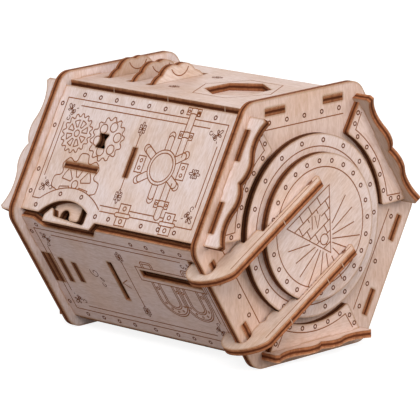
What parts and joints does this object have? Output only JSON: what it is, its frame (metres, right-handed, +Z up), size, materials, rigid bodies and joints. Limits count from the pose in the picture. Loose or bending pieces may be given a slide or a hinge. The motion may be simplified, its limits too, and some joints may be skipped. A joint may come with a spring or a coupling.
{
  "type": "puzzle box",
  "caption": "Hexagonal plywood puzzle box with turning end discs, clamp arms, number dials, a sliding lever and a hidden drawer.",
  "frame": {"origin": "centre of the box's footprint on the ground", "axes": "+X along the prism towards the end with the turning discs, +Z up, the keyhole and lever face looks towards -Y and up"},
  "size_m": [0.1688, 0.1562, 0.1417],
  "materials": {
    "birch_plywood": "bare, laser cut, dark burnt edges",
    "turned_birch": "bare, turned"
  },
  "bodies": {
    "case": {"back_lower_panel": "birch_plywood", "back_upper_panel": "birch_plywood", "bottom_panel": "birch_plywood", "dial_shaft": "turned_birch", "dial_spacer_1": "turned_birch", "dial_spacer_2": "turned_birch", "dial_spacer_3": "turned_birch", "drawer_guide_front": "birch_plywood", "drawer_guide_rear": "birch_plywood", "front_end_plate": "birch_plywood", "front_lower_panel": "birch_plywood", "front_shield_back_side": "birch_plywood", "front_shield_bottom": "birch_plywood", "front_shield_front_side": "birch_plywood", "front_upper_panel": "birch_plywood", "front_valance_back_side": "birch_plywood", "front_valance_bottom": "birch_plywood", "front_valance_front_side": "birch_plywood", "keyhole_shelf": "birch_plywood", "lever_cover": "birch_plywood", "lever_guide_block": "birch_plywood", "lower_clamp_arm": "birch_plywood", "middle_bulkhead": "birch_plywood", "rear_end_plate": "birch_plywood", "rear_frame_inner": "birch_plywood", "rear_frame_outer": "birch_plywood", "rear_shield_back_side": "birch_plywood", "rear_shield_bottom": "birch_plywood", "rear_shield_front_side": "birch_plywood", "rear_valance_back_side": "birch_plywood", "rear_valance_bottom": "birch_plywood", "rear_valance_front_side": "birch_plywood", "top_panel": "birch_plywood", "upper_clamp_arm": "birch_plywood", "window_floor": "birch_plywood"},
    "outer_disc_group": {"outer_disc": "birch_plywood", "outer_disc_collar": "turned_birch", "outer_disc_thrust_ring": "birch_plywood", "outer_disc_cam": "birch_plywood"},
    "inner_disc_group": {"inner_disc": "birch_plywood", "inner_disc_hub": "turned_birch", "inner_disc_cam": "birch_plywood"},
    "dial_1": {"number_dial_1": "birch_plywood"},
    "dial_2": {"number_dial_2": "birch_plywood"},
    "dial_3": {"number_dial_3": "birch_plywood"},
    "lever": {"finger_lever": "birch_plywood"},
    "drawer": {"drawer_front": "birch_plywood", "drawer_floor": "birch_plywood", "drawer_side_left": "birch_plywood", "drawer_side_right": "birch_plywood", "drawer_back": "birch_plywood", "dial_fence": "birch_plywood", "drawer_tail": "birch_plywood", "tail_fence": "birch_plywood"}
  },
  "joints": [
    {"name": "outer_disc_spin", "type": "hinge", "parent": "case", "child": "outer_disc_group", "pos_m": [0, 0, 0.069], "axis": [1, 0, 0], "continuous": true},
    {"name": "inner_disc_spin", "type": "hinge", "parent": "case", "child": "inner_disc_group", "pos_m": [0, 0, 0.069], "axis": [1, 0, 0], "continuous": true},
    {"name": "dial_1_spin", "type": "hinge", "parent": "case", "child": "dial_1", "pos_m": [-0.0019, 0.0007, 0.1211], "axis": [1, 0, 0], "continuous": true},
    {"name": "dial_2_spin", "type": "hinge", "parent": "case", "child": "dial_2", "pos_m": [-0.0019, 0.0007, 0.1211], "axis": [1, 0, 0], "continuous": true},
    {"name": "dial_3_spin", "type": "hinge", "parent": "case", "child": "dial_3", "pos_m": [-0.0019, 0.0007, 0.1211], "axis": [1, 0, 0], "continuous": true},
    {"name": "lever_slide", "type": "slide", "parent": "case", "child": "lever", "axis": [1, 0, 0], "range_m": [0, 0.007]},
    {"name": "drawer_slide", "type": "slide", "parent": "case", "child": "drawer", "axis": [-1, 0, 0], "range_m": [0, 0.046]}
  ]
}
